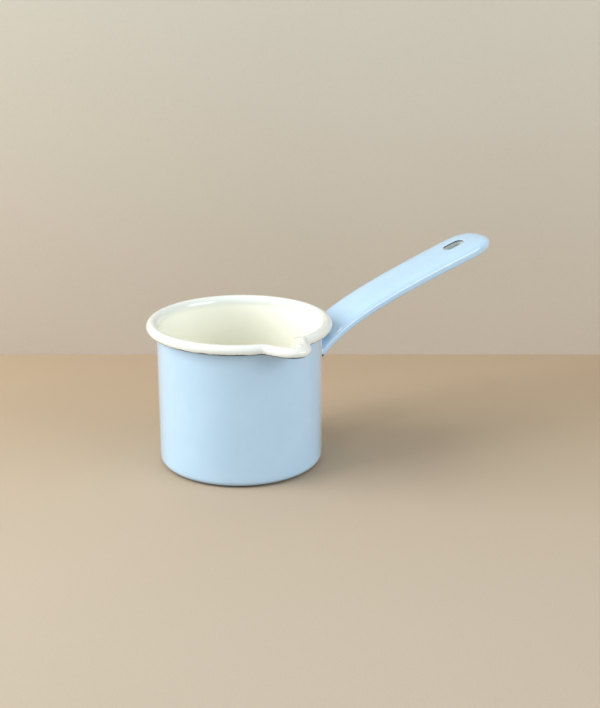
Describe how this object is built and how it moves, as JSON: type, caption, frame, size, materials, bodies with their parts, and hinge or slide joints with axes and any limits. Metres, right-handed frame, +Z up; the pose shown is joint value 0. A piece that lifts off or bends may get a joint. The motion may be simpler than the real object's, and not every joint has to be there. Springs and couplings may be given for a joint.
{
  "type": "milk pan",
  "caption": "Small straight-sided enamelled steel saucepan with a rolled rim, one side pouring lip and a long hollow handle with a hanging slot.",
  "frame": {"origin": "centre of the base, on the plane that the pan stands on", "axes": "+X along the handle, -Y out through the pouring lip, +Z up"},
  "size_m": [0.2998, 0.1571, 0.1461],
  "materials": {
    "pan_steel": "drawn low-carbon sheet, hidden under enamel",
    "handle_steel": "pressed low-carbon sheet, hidden under enamel",
    "weld": "weld metal, hidden under enamel",
    "cream_enamel": "gloss vitreous enamel",
    "blue_enamel": "gloss vitreous enamel",
    "ground_enamel": "gloss dark ground coat"
  },
  "bodies": {
    "root": {"pan_shell": "pan_steel", "lining_enamel": "cream_enamel", "wall_enamel": "blue_enamel", "base_enamel": "ground_enamel", "rim_ground_coat": "ground_enamel", "handle_upper_shell": "handle_steel", "handle_lower_shell": "handle_steel", "handle_seam_weld": "weld", "handle_root_weld": "weld", "handle_enamel": "blue_enamel", "slot_rim_upper": "ground_enamel", "slot_rim_lower": "ground_enamel"}
  },
  "joints": []
}
